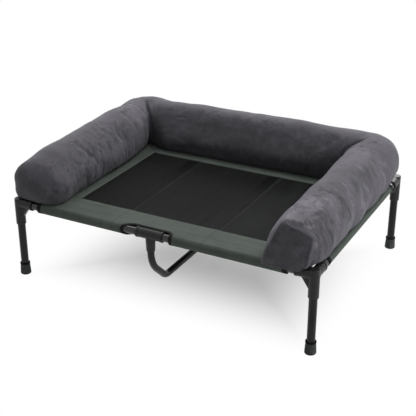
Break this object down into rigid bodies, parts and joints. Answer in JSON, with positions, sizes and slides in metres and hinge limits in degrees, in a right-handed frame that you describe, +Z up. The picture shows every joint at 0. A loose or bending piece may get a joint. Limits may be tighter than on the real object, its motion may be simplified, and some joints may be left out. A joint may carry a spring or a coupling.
{
  "type": "raised dog cot",
  "caption": "Raised dog cot: push-together tube frame on legs with rubber feet, a mesh sling with fabric borders and a stuffed velvet bolster round three sides.",
  "frame": {"origin": "on the floor, midway between the four legs", "axes": "+X to the right along the long side, +Y from the open front to the back, +Z up"},
  "size_m": [1.0646, 0.7876, 0.4363],
  "materials": {
    "tube": "satin",
    "plastic": "matte",
    "rubber": "matte",
    "mesh": "matte",
    "border": "matte",
    "binding": "matte",
    "velvet": "matte",
    "fill": "matte"
  },
  "bodies": {
    "frame": {"corner_front_left": "plastic", "corner_front_right": "plastic", "corner_back_left": "plastic", "corner_back_right": "plastic", "front_rail_left": "tube", "front_rail_right": "tube", "back_rail_left": "tube", "back_rail_right": "tube", "side_rail_left": "tube", "side_rail_right": "tube", "front_tee": "plastic", "back_tee": "plastic", "brace_tube": "tube", "mesh_panel": "mesh", "front_border": "border", "back_border": "border", "left_border": "border", "right_border": "border", "front_notch_binding": "binding", "back_notch_binding": "binding", "corner_binding_front_left": "binding", "corner_binding_front_right": "binding", "corner_binding_back_left": "binding", "corner_binding_back_right": "binding"},
    "front_left_leg": {"leg_front_left": "tube", "foot_front_left": "rubber"},
    "front_right_leg": {"leg_front_right": "tube", "foot_front_right": "rubber"},
    "back_left_leg": {"leg_back_left": "tube", "foot_back_left": "rubber"},
    "back_right_leg": {"leg_back_right": "tube", "foot_back_right": "rubber"},
    "bolster": {"bolster_left_cover": "velvet", "bolster_back_cover": "velvet", "bolster_right_cover": "velvet", "bolster_left_end": "velvet", "bolster_right_end": "velvet", "bolster_base": "velvet", "bolster_left_fill": "fill", "bolster_back_fill": "fill", "bolster_right_fill": "fill"}
  },
  "joints": [
    {"name": "front_left_leg_pull", "type": "slide", "parent": "frame", "child": "front_left_leg", "axis": [0, 0, -1], "range_m": [0, 0.058]},
    {"name": "front_right_leg_pull", "type": "slide", "parent": "frame", "child": "front_right_leg", "axis": [0, 0, -1], "range_m": [0, 0.058]},
    {"name": "back_left_leg_pull", "type": "slide", "parent": "frame", "child": "back_left_leg", "axis": [0, 0, -1], "range_m": [0, 0.058]},
    {"name": "back_right_leg_pull", "type": "slide", "parent": "frame", "child": "back_right_leg", "axis": [0, 0, -1], "range_m": [0, 0.058]},
    {"name": "bolster_lift", "type": "slide", "parent": "frame", "child": "bolster", "axis": [0, 0, 1], "range_m": [0, 0.25]}
  ]
}
